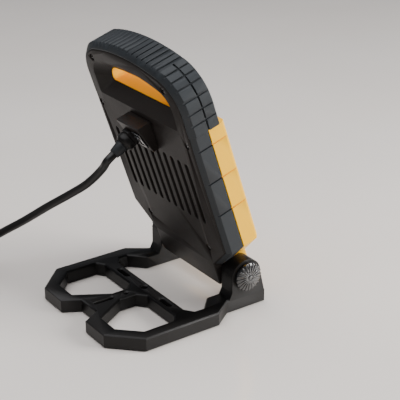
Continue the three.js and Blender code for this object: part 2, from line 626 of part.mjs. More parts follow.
const makeLightEngine = () => {
  const lensEdge = windowOutline(LENS_BITE);
  const gasketFront = SHELL_FRONT + WALL + GAP;
  part('lens_gasket',
    slab(lensEdge, gasketFront, gasketFront + GASKET_THICKNESS, [windowOutline(LENS_BITE - GASKET_WIDTH)]),
    RUBBER(), head);
  part('lens', slab(lensEdge, lensFace, lensFace + LENS_THICKNESS), GLASS(), head);

  const boardEdge = windowOutline(-BOARD_INSET);
  const cone = toHead(
    loft([[windowOutline(-BOARD_INSET - 3), 0], [windowOutline(-1), reflectorBack - reflectorFront + 0.02]]),
    reflectorBack + 0.01,
  );
  const boardPocket = slab(windowOutline(-BOARD_INSET + GAP), boardFront - GAP, reflectorBack + 1);
  const screwX = WINDOW_HALF_WIDTH + LENS_BITE - SINK_SCREW_INSET;
  const sinkScrews = [-1, 1].flatMap((sx) => [
    [sx * screwX, WINDOW_LOW + 6],
    [sx * screwX, WINDOW_HIGH - 6],
  ]);
  const pilot = sinkScrews.map(([x, v]) => alongN(rod(1.5 + GAP, reflectorBack - 6.5, reflectorBack + 1, 12), x, v));
  part('reflector',
    shape(slab(lensEdge, reflectorFront, reflectorBack), { cut: [cone, boardPocket, ...pilot] }),
    WHITE_PLASTIC(), head);

  const chips = [];
  const spanX = 2 * (WINDOW_HALF_WIDTH - BOARD_INSET - 3) - 3 * LED_SIZE;
  const spanV = WINDOW_HIGH - WINDOW_LOW - 2 * BOARD_INSET - 6 - 3 * LED_SIZE;
  const middle = (WINDOW_LOW + WINDOW_HIGH) / 2;
  for (let i = 0; i < LED_COLUMNS; i += 1) {
    for (let k = 0; k < LED_ROWS; k += 1) {
      const x = (i / (LED_COLUMNS - 1) - 0.5) * spanX;
      const v = middle + (k / (LED_ROWS - 1) - 0.5) * spanV;
      const h = LED_SIZE / 2;
      chips.push(box(x - h, x + h, boardFront - LED_HEIGHT, boardFront + 0.5, v - h, v + h));
    }
  }
  const board = slab(boardEdge, boardFront, boardFront + BOARD_THICKNESS);
  part('led_board', shape(board, { add: [mergeGeometries(chips)] }), WHITE_PLASTIC(), head);

  const finFront = sinkFront + SINK_BASE;
  const base = slab(windowOutline(LENS_BITE), sinkFront, finFront);
  const fins = Array.from({ length: VENT_COUNT + 1 }, (_, i) => {
    const x = (i - VENT_COUNT / 2) * VENT_PITCH;
    const half = FIN_THICKNESS / 2;
    return box(x - half, x + half, finFront - 1, finFront + FIN_REACH, VENT_LOW - 6, VENT_HIGH - 2);
  });
  const holes = sinkScrews.map(([x, v]) => alongN(rod(1.5 + GAP, sinkFront - 1, finFront + 1, 12), x, v));
  part('heat_sink', shape(base, { add: fins, cut: holes }), ALUMINIUM(), head);
  sinkScrews.forEach(([x, v], i) => {
    const shank = [[0, reflectorBack - 6], [1.5, reflectorBack - 6], [1.5, finFront + GAP], [2.8, finFront + GAP]];
    const profile = [...shank, [2.8, finFront + 1.6], [2, finFront + 2.3], [0, finFront + 2.3]];
    part(`sink_screw_${i + 1}`, alongN(turned(profile, 16), x, v), STEEL(), head);
  });

  const driverBack = COVER_BACK - WALL - 2;
  const driver = box(12 - WINDOW_HALF_WIDTH, -14, finFront + GAP, driverBack, VENT_HIGH + 1, WINDOW_HIGH + 3);
  part('led_driver', driver, WHITE_PLASTIC(), head);
  const terminals = box(-11, 11, finFront + GAP, COVER_BACK - 1, BOX_LOW + 7, BOX_HIGH - 9);
  const wireHoles = [-7, 0, 7].map((x) => alongN(rod(1.6, COVER_BACK - 7, COVER_BACK, 10), x, (BOX_LOW + BOX_HIGH) / 2));
  part('terminal_block', shape(terminals, { cut: wireHoles }), WHITE_PLASTIC(), head);
};

// ---------------------------------------------------------------- housing screws

const makeCoverScrews = () => {
  const top = COVER_BACK - SCREW_SINK;
  const under = top - SCREW_HEAD_HEIGHT;
  screwPlaces.forEach(([x, v], i) => {
    const end = frontAt(v) + WALL + 2.5;
    const profile = [
      [0, end], [SCREW_RADIUS, end], [SCREW_RADIUS, under], [SCREW_HEAD_RADIUS, under],
      [SCREW_HEAD_RADIUS, top - 0.8], [SCREW_HEAD_RADIUS - 1, top], [0, top],
    ];
    const slot = () => box(-0.5, 0.5, top - 1.2, top + 1, -2.2, 2.2);
    const cross = [slot().translate(x, 0, v), slot().rotateY(Math.PI / 2).translate(x, 0, v)];
    part(`cover_screw_${i + 1}`, shape(alongN(turned(profile, 16), x, v), { cut: cross }), STEEL(), head);
  });
};

// ---------------------------------------------------------------- junction box with switch and gland

const boxMiddle = (BOX_LOW + BOX_HIGH) / 2;
const faceTilt = Math.atan2(BOX_DEPTH_HIGH - BOX_DEPTH_LOW, BOX_HIGH - BOX_LOW);
const face = new THREE.Group(); // x is the width, y leaves the box's back face, z runs up it
face.position.set(0, COVER_BACK + GAP + (BOX_DEPTH_LOW + BOX_DEPTH_HIGH) / 2, boxMiddle);
face.rotation.x = -faceTilt;
head.add(face);

// A wedge drawn in (n, v), as wide as the box less a wall.
const wedge = (wall, low) => {
  const base = COVER_BACK + GAP;
  const slope = (BOX_DEPTH_HIGH - BOX_DEPTH_LOW) / (BOX_HIGH - BOX_LOW);
  const drop = wall / Math.cos(faceTilt);
  const depth = (v) => base + BOX_DEPTH_LOW + slope * (v - BOX_LOW) - drop;
  const v0 = BOX_LOW + wall;
  const v1 = BOX_HIGH - wall;
  const outline = [[base - low, v0], [depth(v0), v0], [depth(v1), v1], [base - low, v1]];
  const half = BOX_HALF_WIDTH - wall;
  return alongX(extrude(outline, 2 * half)).translate(-half, 0, 0);
};

const makeJunctionBox = () => {
  const toFace = (geometry) => geometry.rotateX(-faceTilt).translate(...face.position.toArray());
  const switchHole = box(
    SWITCH_X - SWITCH_WIDTH / 2 + SWITCH_RIM - GAP, SWITCH_X + SWITCH_WIDTH / 2 - SWITCH_RIM + GAP,
    -10, 10, -SWITCH_LENGTH / 2 + SWITCH_RIM - GAP, SWITCH_LENGTH / 2 - SWITCH_RIM + GAP,
  );
  const glandHole = alongN(rod(GLAND_THREAD + GAP, -10, 10, 24), GLAND_X, -GLAND_DROP);
  const geometry = shape(wedge(0, 0), { cut: [wedge(BOX_WALL, 1), toFace(switchHole), toFace(glandHole)] });
  part('junction_box', geometry, BLACK_PLASTIC(), head);
};

const makeSwitch = () => {
  const w = SWITCH_WIDTH / 2;
  const l = SWITCH_LENGTH / 2;
  const inner = [w - SWITCH_RIM, l - SWITCH_RIM];
  const rim = box(SWITCH_X - w, SWITCH_X + w, GAP, GAP + 1.6, -l, l);
  const body = box(SWITCH_X - inner[0], SWITCH_X + inner[0], -SWITCH_DEPTH, GAP + 1, -inner[1], inner[1]);
  const cavity = box(
    SWITCH_X - inner[0] + 0.8, SWITCH_X + inner[0] - 0.8, -SWITCH_DEPTH + 1.5, 10, -inner[1] + 0.8, inner[1] - 0.8,
  );
  part('switch_body', shape(rim, { add: [body], cut: [cavity] }), BLACK_PLASTIC(), face);

  // The rocker's two flanks meet at an angle of the throw, and one of them is pressed in at rest.
  const half = ROCKER_THROW / 2;
  const reach = inner[1] - 0.8 - 1;
  const top = 2.2;
  const profile = [
    [-2.5, -3], [2.5, -3], [reach * 0.9, top - 2.6 - 1.2], [reach * 0.96, top + reach * Math.tan(half)],
    [0, top], [-reach * 0.96, top + reach * Math.tan(half)], [-reach * 0.9, top - 2.6 - 1.2],
  ];
  const width = 2 * (inner[0] - 0.8 - GAP);
  const rocker = alongX(extrude(profile, width)).translate(-width / 2, 0, 0).rotateX(-Math.PI / 2 - half);
  part('switch_rocker', rocker.translate(SWITCH_X, -ROCKER_PIVOT_DEPTH, 0), RUBBER(), face);
};

const glandStart = GAP;
const makeGland = () => {
  const at = (geometry) => alongN(geometry, GLAND_X, -GLAND_DROP);
  const bore = CORD_DIAMETER / 2 + GAP;
  const hexEnd = glandStart + 4;
  const hexagon = extrude(circle(0, 0, GLAND_HEX, 6), 4).translate(0, 0, glandStart);
  const thread = rod(GLAND_THREAD, -6.5, hexEnd - 1, 24);
  const hole = rod(bore, -8, hexEnd + 1, 20);
  part('gland_body', at(shape(hexagon, { add: [thread], cut: [hole] })), BLACK_PLASTIC(), face);
  part('gland_lock_nut',
    at(extrude(circle(0, 0, GLAND_THREAD + 2.4, 6), 2.4, [circle(0, 0, GLAND_THREAD + GAP)])
      .translate(0, 0, -BOX_WALL - GAP - 2.4)),
    BLACK_PLASTIC(), face);
  const nutStart = hexEnd + GAP;
  const nutEnd = nutStart + GLAND_NUT_LENGTH;
  const sealRadius = bore + 2.2;
  const nut = turned([
    [sealRadius + GAP, nutStart], [GLAND_NUT_RADIUS, nutStart], [GLAND_NUT_RADIUS, nutEnd - 3.5],
    [GLAND_NUT_RADIUS - 2.5, nutEnd], [sealRadius + GAP, nutEnd],
  ], 24);
  part('gland_nut', at(nut), BLACK_PLASTIC(), face);
  const reliefEnd = nutStart + RELIEF_LENGTH;
  const relief = turned([
    [0, nutStart], [sealRadius, nutStart], [sealRadius, nutEnd], [CORD_DIAMETER / 2 + 1.2, reliefEnd], [0, reliefEnd],
  ], 24);
  part('strain_relief', at(relief), RUBBER(), face);
  return reliefEnd;
};

// ---------------------------------------------------------------- free cord, coil, tie and plug

const makeCord = (reliefEnd) => {
  light.updateMatrixWorld(true);
  const out = (distance) =>
    face.localToWorld(new THREE.Vector3(GLAND_X, reliefEnd + distance, -GLAND_DROP));
  const section = toShape(circle(0, 0, CORD_DIAMETER / 2, 10));
  const tubeAlong = (points, step) => {
    const curve = new THREE.CatmullRomCurve3(points, false, 'centripetal');
    const steps = Math.round(curve.getLength() / (step * CORD_DIAMETER));
    return new THREE.ExtrudeGeometry(section, { steps, extrudePath: curve, bevelEnabled: false });
  };
  const [cx, cy] = [COIL_CENTRE[0], COIL_CENTRE[1] - DEPTH_CENTRE];
  const mouth = out(GAP);
  const beside = COIL_RADIUS + 1.5 * CORD_DIAMETER + 0.82;
  const landing = [cx + beside * Math.cos(LANDING), cy + beside * Math.sin(LANDING), CORD_DIAMETER / 2 + 0.45];
  const way = new THREE.Vector3(...landing).sub(mouth);
  const drop = CORD_DROP.map((share) => new THREE.Vector3(...share).multiply(way).add(mouth));
  part('cord_lead', tubeAlong([mouth, out(10), ...drop], 1.6), RUBBER(), light);

  const halfAcross = (COIL_COLUMNS * CORD_DIAMETER) / 2 + 0.6;
  const coilLow = TIE_THICKNESS + GAP;
  const coilTop = coilLow + COIL_ROWS * CORD_DIAMETER;
  const inner = COIL_RADIUS - halfAcross;
  const outer = COIL_RADIUS + halfAcross;
  part('cord_coil',
    turned([[inner, coilLow + 2], [inner + 2, coilLow], [outer - 2, coilLow], [outer, coilLow + 2],
      [outer, coilTop - 3], [outer - 3, coilTop], [inner + 3, coilTop], [inner, coilTop - 3]], 48)
      .translate(cx, cy, 0),
    RUBBER(), light);

  // A strap closed around the turns of the coil, drawn in (radius, z). It clears the inner turns where they bow.
  const bow = inner - Math.sqrt(inner ** 2 - (TIE_WIDTH / 2) ** 2);
  const [near, far, above] = [inner - bow - GAP, outer + GAP, coilTop + GAP];
  const t = TIE_THICKNESS;
  const strap = extrude(rounded(near - t, 0, far + t, above + t, 2), TIE_WIDTH, [rounded(near, t, far, above, 1)]);
  const tie = strap.rotateX(Math.PI / 2).translate(0, TIE_WIDTH / 2, 0).rotateZ(TIE_PLACE).translate(cx, cy, 0);
  part('cord_tie', tie, RUBBER(), light);

  const climb = PLUG_RADIUS - CORD_DIAMETER / 2 - 0.05;
  const tail = CORD_TAIL.map(([angle, radius, share]) => new THREE.Vector3(
    cx + radius * Math.cos(angle * DEG),
    cy + radius * Math.sin(angle * DEG),
    coilTop + 0.35 + CORD_DIAMETER / 2 + share * climb,
  ));
  part('cord_tail', tubeAlong(tail, 1.6), RUBBER(), light);
  makePlug(tail.at(-1), tail.at(-1).clone().sub(tail.at(-2)));
};

const makePlug = (start, direction) => {
  const plug = new THREE.Group();
  plug.position.set(start.x, start.y, start.z);
  plug.rotation.z = Math.atan2(direction.y, direction.x) - Math.PI / 2;
  light.add(plug);
  const alongY = (geometry) => geometry.rotateX(-Math.PI / 2);
  const r = CORD_DIAMETER / 2;
  const sleeveEnd = GAP + PLUG_SLEEVE;
  part('plug_sleeve',
    alongY(turned([[0, GAP], [r + 1, GAP], [r + 3.5, sleeveEnd], [0, sleeveEnd]], 20)), RUBBER(), plug);
  const bodyStart = sleeveEnd + GAP;
  const bodyEnd = bodyStart + PLUG_LENGTH;
  const profile = [
    [0, bodyStart], [r + 5, bodyStart], [PLUG_RADIUS - 3, bodyStart + 14], [PLUG_RADIUS, bodyStart + 20],
    [PLUG_RADIUS, bodyEnd - 1.5], [PLUG_RADIUS - 1.5, bodyEnd], [0, bodyEnd],
  ];
  const pinHoles = [-1, 1].map((s) =>
    alongY(rod(PIN_RADIUS + GAP, bodyEnd - 9, bodyEnd + 1, 16)).translate((s * PIN_SPACING) / 2, 0, 0));
  part('plug_body', shape(alongY(turned(profile, 28)), { cut: pinHoles }), RUBBER(), plug);
  [-1, 1].forEach((s, i) => {
    const end = bodyEnd + PIN_LENGTH;
    const pin = turned([
      [0, bodyEnd - 8.7], [PIN_RADIUS, bodyEnd - 8.7], [PIN_RADIUS, end - 1.2], [PIN_RADIUS - 1, end], [0, end],
    ], 16);
    part(`plug_pin_${i + 1}`, alongY(pin).translate((s * PIN_SPACING) / 2, 0, 0), NICKEL(), plug);
  });
};

makeStand();
makeTiltHardware();
makeRearCover();
makeFrontShell();
makeSideBumpers();
makeUpperBumper();
makeLightEngine();
makeCoverScrews();
makeJunctionBox();
makeSwitch();
makeCord(makeGland());

export default light;
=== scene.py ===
import math

import bmesh
import bpy
from mathutils import Matrix, Vector


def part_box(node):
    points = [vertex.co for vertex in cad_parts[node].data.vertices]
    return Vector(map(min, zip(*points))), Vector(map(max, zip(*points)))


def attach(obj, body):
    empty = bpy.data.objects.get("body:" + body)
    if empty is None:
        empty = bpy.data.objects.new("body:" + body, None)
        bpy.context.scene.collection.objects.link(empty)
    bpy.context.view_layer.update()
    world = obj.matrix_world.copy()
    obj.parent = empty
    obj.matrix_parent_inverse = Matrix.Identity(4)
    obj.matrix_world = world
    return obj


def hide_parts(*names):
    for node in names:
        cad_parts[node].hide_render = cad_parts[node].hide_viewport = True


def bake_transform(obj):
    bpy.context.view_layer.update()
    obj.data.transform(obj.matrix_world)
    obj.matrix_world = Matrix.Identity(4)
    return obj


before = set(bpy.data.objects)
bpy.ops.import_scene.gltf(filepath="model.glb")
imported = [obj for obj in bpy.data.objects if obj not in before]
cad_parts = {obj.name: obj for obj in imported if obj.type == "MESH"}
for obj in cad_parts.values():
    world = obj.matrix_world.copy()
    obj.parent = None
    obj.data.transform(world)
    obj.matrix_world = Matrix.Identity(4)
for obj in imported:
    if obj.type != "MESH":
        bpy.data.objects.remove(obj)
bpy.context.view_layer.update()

# ------------------------------------------------------------------ viewpoint
# The light stands on a bench and is looked at from behind its left shoulder, a
# little from above, through a long lens, so that the back of the head, the
# carrying handle and the whole open stand are seen.

VIEW_AZIMUTH = math.radians(234.786)
VIEW_ELEVATION = math.radians(24.271)
VIEW_PLACE = Vector((-0.92849, 0.59154, 0.60895))
VIEW_LENS = 106.56   # millimetres, for a sensor 36 mm wide
view_back = Vector((
    math.sin(VIEW_AZIMUTH) * math.cos(VIEW_ELEVATION),
    -math.cos(VIEW_AZIMUTH) * math.cos(VIEW_ELEVATION),
    math.sin(VIEW_ELEVATION),
))
view_right = Vector((math.cos(VIEW_AZIMUTH), math.sin(VIEW_AZIMUTH), 0.0))
view_up = view_back.cross(view_right)
lens_data = bpy.data.cameras.new("viewpoint")
lens_data.sensor_width = 36.0
lens_data.lens = VIEW_LENS
lens_data.clip_start = 0.05
viewpoint = bpy.data.objects.new("viewpoint", lens_data)
viewpoint.matrix_world = Matrix((
    (view_right.x, view_up.x, view_back.x, VIEW_PLACE.x),
    (view_right.y, view_up.y, view_back.y, VIEW_PLACE.y),
    (view_right.z, view_up.z, view_back.z, VIEW_PLACE.z),
    (0, 0, 0, 1),
))
bpy.context.scene.collection.objects.link(viewpoint)
bpy.context.scene.camera = viewpoint

# ------------------------------------------------------------------ mains cord
# Three-core rubber cord, 8.5 mm thick and black. It leaves the gland straight,
# drops to the bench in one sag, and the rest is wound into a neat flat coil of
# three layers, two turns wide, with the plug lying on the turns.

CORD = 0.0085
STAND_MIDDLE = 0.0694   # tilt axis to the middle of the stand
gland_axis = Vector((0.0, 0.81255, -0.58289))
gland_mouth = Vector((0.007, 0.035658, 0.169243))
STRAIGHT = 0.0097   # the stretch that leaves the gland along its axis

# From here to the plug, places are in millimetres, with y from the tilt axis.
COIL_CENTRE = (130, 265)
COIL_MIDDLE = 47.0            # radius between the two turns of a layer
LAYERS = 3
LANDING = math.radians(-33)   # where the cord reaches the coil, just outside its turns
BESIDE_GAP = 0.82             # between the coil and the cord that lands beside it
BENCH_GAP = 0.45              # under the cord where it lands
TIE = 1.2                     # thickness of the strap, which passes under the turns
TIE_GAP = 0.3
COIL_LIFT = TIE + TIE_GAP
TOP_GAP = 0.35                # between the coil and the stretch that lies on it
PLUG_RADIUS = 18.0
PLUG_GAP = 0.3                # between the coil and the plug
STEPS_PER_TURN = 20
MOVED_IN = 0.22               # share of the first turn by which the cord is in its lane
LANE_CHANGE = 0.82            # share of a turn after which it moves to the next lane
LAST_RISE = 0.2               # share of a turn in which it climbs onto the coil
drop = [   # shares of the way across, back and down from the gland to the bench
    (0.043, 0.067, 0.093), (0.138, 0.134, 0.214), (0.25, 0.216, 0.315), (0.391, 0.323, 0.433),
    (0.552, 0.437, 0.573), (0.699, 0.567, 0.697), (0.788, 0.645, 0.782), (0.866, 0.728, 0.868),
    (0.926, 0.819, 0.94), (0.97, 0.913, 0.985), (1, 1, 1),
]
tail = [   # degrees around the coil, radius, share of the climb onto the plug's height
    (320, 47, 0), (333, 47, 0), (345, 47, 0.015), (360.3, 46.6, 0.073), (375.9, 45, 0.219),
    (391.9, 42.6, 0.438), (409, 39.5, 0.701), (427.2, 35.8, 0.927), (443.2, 34.2, 1), (453.3, 34.5, 1),
]


def on_bench(x, y, z):
    return Vector((x / 1000, y / 1000 - STAND_MIDDLE, z / 1000))


width = CORD * 1000
beside = COIL_MIDDLE + 1.5 * width + BESIDE_GAP
landing = (COIL_CENTRE[0] + beside * math.cos(LANDING), COIL_CENTRE[1] + beside * math.sin(LANDING),
           width / 2 + BENCH_GAP)
coil_top = COIL_LIFT + LAYERS * width
lying_height = coil_top + TOP_GAP + width / 2


def eased(share):
    return share * share * (3 - 2 * share)


def coil_turns():
    outer, inner = COIL_MIDDLE + width / 2, COIL_MIDDLE - width / 2
    rows = [COIL_LIFT + width * (i + 0.5) for i in range(LAYERS)]
    lanes = [(outer, rows[0]), (inner, rows[0]), (inner, rows[1]),
             (outer, rows[1]), (outer, rows[2]), (inner, rows[2])]
    last = len(lanes) - 1
    total = last + (math.radians(tail[0][0]) - LANDING) / math.tau
    steps = int(total * STEPS_PER_TURN)
    points = []
    for i in range(1, steps):
        turned = total * i / steps
        lane = min(int(turned), last)
        radius, height = lanes[lane]
        part = turned - lane
        if lane == 0 and part < MOVED_IN:
            mix = eased(part / MOVED_IN)
            radius = beside + (radius - beside) * mix
            height = landing[2] + (height - landing[2]) * mix
        if part > LANE_CHANGE and lane < last:
            mix = eased((part - LANE_CHANGE) / (1 - LANE_CHANGE))
            radius += (lanes[lane + 1][0] - radius) * mix
            height += (lanes[lane + 1][1] - height) * mix
        left = total - turned
        if left < LAST_RISE:
            mix = eased(1 - left / LAST_RISE)
            radius += (COIL_MIDDLE - radius) * mix
            height += (lying_height - height) * mix
        angle = LANDING + turned * math.tau
        points.append((COIL_CENTRE[0] + radius * math.cos(angle),
                       COIL_CENTRE[1] + radius * math.sin(angle), height))
    return points


def to_plug():
    climb = coil_top + PLUG_GAP + PLUG_RADIUS - lying_height
    return [(COIL_CENTRE[0] + radius * math.cos(math.radians(angle)),
             COIL_CENTRE[1] + radius * math.sin(math.radians(angle)),
             lying_height + share * climb) for angle, radius, share in tail]


way = on_bench(*landing) - gland_mouth
route = [gland_mouth, gland_mouth + gland_axis * STRAIGHT]
route += [gland_mouth + Vector(share) * way for share in drop]
route += [on_bench(*place) for place in coil_turns() + to_plug()]


def smooth_line(points):
    between = 4   # points on each stretch
    line = []
    for i in range(len(points) - 1):
        p0 = points[max(i - 1, 0)]
        p1, p2 = points[i], points[i + 1]
        p3 = points[min(i + 2, len(points) - 1)]
        t1 = (p2 - p1).length ** 0.5
        t0 = max((p1 - p0).length ** 0.5, 1e-6) if i else t1
        t2 = max((p3 - p2).length ** 0.5, 1e-6) if i + 2 < len(points) else t1
        m1 = (p2 - p1) if not i else ((p1 - p0) / t0 - (p2 - p0) / (t0 + t1) + (p2 - p1) / t1) * t1
        m2 = (p2 - p1) if i + 2 >= len(points) else (
            (p2 - p1) / t1 - (p3 - p1) / (t1 + t2) + (p3 - p2) / t2) * t1
        for k in range(between):
            u = k / between
            line.append(
                p1 * (2 * u ** 3 - 3 * u ** 2 + 1) + m1 * (u ** 3 - 2 * u ** 2 + u)
                + p2 * (3 * u ** 2 - 2 * u ** 3) + m2 * (u ** 3 - u ** 2))
    line.append(points[-1])
    return line


def show(name, mesh):
    piece = bpy.data.objects.new(name, mesh)
    bpy.context.scene.collection.objects.link(piece)
    return piece


cord_line = smooth_line(route)
strand = bpy.data.curves.new("strand", "CURVE")
strand.dimensions = "3D"
strand.bevel_depth = CORD / 2
strand.bevel_resolution = 6
strand.use_fill_caps = True
spline = strand.splines.new("POLY")
spline.points.add(len(cord_line) - 1)
for point, place in zip(spline.points, cord_line):
    point.co = (*place, 1.0)
strand_maker = show("strand_maker", strand)
bpy.context.view_layer.update()
cord_mesh = bpy.data.meshes.new_from_object(
    strand_maker.evaluated_get(bpy.context.evaluated_depsgraph_get()))
bpy.data.objects.remove(strand_maker)
cord_mesh.shade_smooth()
mains_cord = show("mains_cord", cord_mesh)
cord_length = sum((b - a).length for a, b in zip(cord_line, cord_line[1:]))


class Wire:
    """A socket of a material, so that shader maths reads as an expression."""

    def __init__(self, finish, socket):
        self.finish, self.socket = finish, socket

    def _math(self, operation, other, swapped=False):
        pair = (other, self) if swapped else (self, other)
        return self.finish.node("Math", {"operation": operation}, *pair)

    def __add__(self, other):
        return self._math("ADD", other)

    def __radd__(self, other):
        return self._math("ADD", other, True)

    def __mul__(self, other):
        return self._math("MULTIPLY", other)

    def __rmul__(self, other):
        return self._math("MULTIPLY", other, True)


class Finish:
    """A procedural material around one Principled shader."""

    def __init__(self, name, **look):
        self.material = bpy.data.materials.new(name)
        self.material.use_nodes = True
        self.tree = self.material.node_tree
        self.shader = self.tree.nodes["Principled BSDF"]
        for label, value in look.items():
            self.shader.inputs[label.replace("_", " ")].default_value = value

    def node(self, kind, settings, *values, out=0):
        made = self.tree.nodes.new("ShaderNode" + kind)
        for key, value in settings.items():
            setattr(made, key, value)
        sockets = [s for s in made.inputs if s.enabled]
        for place, value in enumerate(values):
            if isinstance(value, Wire):
                self.tree.links.new(value.socket, sockets[place])
            elif value is not None:
                sockets[place].default_value = value
        outputs = [s for s in made.outputs if s.enabled]
        return Wire(self, outputs[out])

    def place(self):
        return self.node("TexCoord", {}, out=3)

    def noise(self, scale, detail, rough=0.55):
        return self.node("TexNoise", {}, self.place(), scale, detail, rough)

    def blend(self, mask, a, b):
        return self.node("Mix", {"data_type": "RGBA"}, mask, a, b)

    def feed(self, label, wire):
        self.tree.links.new(wire.socket, self.shader.inputs[label])

    def relief(self, height, depth, strength=1.0, round_off=None):
        rounded = self.node("Bevel", {"samples": 6}, round_off) if round_off else None
        self.feed("Normal", self.node("Bump", {}, strength, depth, None, height, rounded))

    def worn_edges(self):
        reach = 0.06   # how far past flat a ridge is rubbed bare
        ridge = self.node("NewGeometry", {}, out=7)
        return self.node("MapRange", {}, ridge, 0.5 + reach * 0.35, 0.5 + reach, 0.0, 1.0)

    def on(self, piece):
        piece.data.materials.clear()
        piece.data.materials.append(self.material)
        return piece


def cord_rubber():
    rubber = Finish("cord_rubber", Specular_IOR_Level=0.38)
    soft = rubber.noise(38, 3)
    fine = rubber.noise(2600, 2)
    rubber.feed("Base Color", rubber.blend(soft, (0.003, 0.003, 0.003, 1), (0.007, 0.0062, 0.006, 1)))
    rubber.feed("Roughness", 0.30 + soft * 0.12 + fine * 0.05)
    rubber.relief(fine * 0.6 + rubber.noise(420, 2) * 0.4, 0.00005, 0.6)
    return rubber


black_cord = cord_rubber()
black_cord.on(mains_cord)
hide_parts("cord_lead", "cord_coil", "cord_tail")
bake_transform(mains_cord)

# ------------------------------------------------------------------ coil tie
# A strap of hook-and-loop tape, 12 mm wide, closed round the turns of the coil
# so that they stay together on the shelf. Its woven face is on the outside.


SAME_CORNER = 0.000008              # corners closer than this are one
FLAT = math.radians(0.6)            # faces that turn less than this are one
EDGE_FROM = math.radians(32)        # a turn from here on gets a bevel
CREASE_FROM = math.radians(20)      # a turn from here on stays a crease


def refined(node, width=0, segments=2):
    """A copy of a part with its edges bevelled by width, or creased where its finish rounds them."""
    form = bmesh.new()
    form.from_mesh(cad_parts[node].data)
    bmesh.ops.remove_doubles(form, verts=form.verts, dist=SAME_CORNER)
    if width:
        bmesh.ops.dissolve_limit(form, angle_limit=FLAT, verts=form.verts, edges=form.edges)
    mesh = bpy.data.meshes.new(node + "_finished")
    form.to_mesh(mesh)
    form.free()
    piece = show(node + "_finished", mesh)
    mesh.shade_smooth()
    if width:
        edge = piece.modifiers.new("edges", "BEVEL")
        edge.limit_method = "ANGLE"
        edge.angle_limit = EDGE_FROM
        edge.width = width
        edge.segments = segments
        edge.profile = 0.5
        edge.use_clamp_overlap = False
        edge.harden_normals = True
    else:
        mesh.set_sharp_from_angle(angle=CREASE_FROM)
    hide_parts(node)
    return piece


def settle(piece, body):
    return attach(piece, body)


def woven_tape():
    tape = Finish("woven_tape", Roughness=0.85, Sheen_Weight=0.25)
    weave = tape.node("TexWave", {"bands_direction": "Z"}, tape.place(), 900.0, 1.5)
    tape.feed("Base Color", tape.blend(weave, (0.012, 0.012, 0.014, 1), (0.05, 0.05, 0.055, 1)))
    tape.relief(weave, 0.0002, 0.7)
    return tape


tie = refined("cord_tie", 0.0003)
woven_tape().on(tie)
settle(tie, "stand")

# ------------------------------------------------------------------ mains plug
# Round moulded rubber plug with two plated pins, and a bending sleeve moulded
# over the cord. The body has grip ribs, and it lies on top of the coil.


def moulded_rubber(name, tone=(0.005, 0.006, 0.007, 1), round_off=None):
    rubber = Finish(name, Specular_IOR_Level=0.26)
    cloud = rubber.noise(26, 4)
    grain = rubber.noise(1500, 2)
    lift = tuple(min(1.0, c * 1.9) for c in tone[:3]) + (1,)
    colour = rubber.blend(cloud, tone, lift)
    worn = rubber.worn_edges()
    rubber.feed("Base Color", rubber.blend(worn * 0.4, colour, (0.035, 0.04, 0.045, 1)))
    rubber.feed("Roughness", 0.40 + cloud * 0.12 + grain * 0.06)
    rubber.relief(grain * 0.7 + rubber.noise(310, 3) * 0.3, 0.00007, 0.55, round_off)
    return rubber


plug_rubber = moulded_rubber("plug_rubber")
for node, width in (("plug_body", 0.0006), ("plug_sleeve", 0.0004)):
    piece = refined(node, width)
    plug_rubber.on(piece)
    settle(piece, "stand")


def plated_metal():
    plate = Finish("plated_metal", Metallic=1.0)
    haze = plate.noise(90, 3)
    plate.feed("Base Color", plate.blend(haze, (0.60, 0.57, 0.50, 1), (0.78, 0.75, 0.68, 1)))
    plate.feed("Roughness", 0.16 + haze * 0.14)
    plate.relief(plate.noise(1800, 2), 0.00002, 0.3)
    return plate


plated = plated_metal()
for node in ("plug_pin_1", "plug_pin_2"):
    piece = refined(node, 0.0002)
    plated.on(piece)
    settle(piece, "stand")

# ------------------------------------------------------------------ bench and studio lamps
# A plain pale bench top, slightly glossy, with a wide soft lamp beside the lit
# side of the head, a softer one overhead and a low fill from behind.

bench_form = bmesh.new()
bmesh.ops.create_grid(bench_form, x_segments=1, y_segments=1, size=4.0)
bench_mesh = bpy.data.meshes.new("bench")
bench_form.to_mesh(bench_mesh)
bench_form.free()
bench = show("bench", bench_mesh)
bench_top = Finish("bench_top", Specular_IOR_Level=0.5)
bench_cloud = bench_top.noise(2.5, 3)
bench_colour = bench_top.blend(bench_cloud, (0.72, 0.665, 0.62, 1), (0.80, 0.76, 0.72, 1))
bench_top.feed("Base Color", bench_colour)
bench_top.feed("Roughness", 0.10 + bench_cloud * 0.05)
bench_top.on(bench)


def softbox(name, place, aim, size, power, colour):
    lamp = bpy.data.lights.new(name, "AREA")
    lamp.shape = "RECTANGLE"
    lamp.size, lamp.size_y = size
    lamp.energy = power
    lamp.color = colour
    holder = bpy.data.objects.new(name, lamp)
    holder.location = place
    holder.rotation_euler = (Vector(aim) - Vector(place)).to_track_quat("-Z", "Y").to_euler()
    bpy.context.scene.collection.objects.link(holder)


softbox("key_lamp", place=(-1.1, -1.25, 0.75), aim=(0, -0.02, 0.12), size=(1.0, 0.9),
        power=50, colour=(1.0, 0.99, 0.97))
softbox("top_lamp", place=(0.1, 0.25, 1.7), aim=(0, 0.05, 0.1), size=(2.2, 2.2),
        power=46, colour=(0.98, 0.98, 1.0))
softbox("back_fill", place=(-1.3, 1.4, 0.5), aim=(0, 0, 0.12), size=(0.9, 0.6),
        power=3, colour=(1.0, 0.93, 0.86))
world = bpy.data.worlds.new("room")
world.use_nodes = True
air = world.node_tree.nodes["Background"]
air.inputs["Color"].default_value = (0.93, 0.95, 1.0, 1)
air.inputs["Strength"].default_value = 0.17
bpy.context.scene.world = world

# ------------------------------------------------------------------ stand
# One moulding of glass-filled black nylon: two lobed feet joined by a crossbar,
# arms to the front and a rounded lug on each arm. Satin, edges lightly rubbed.


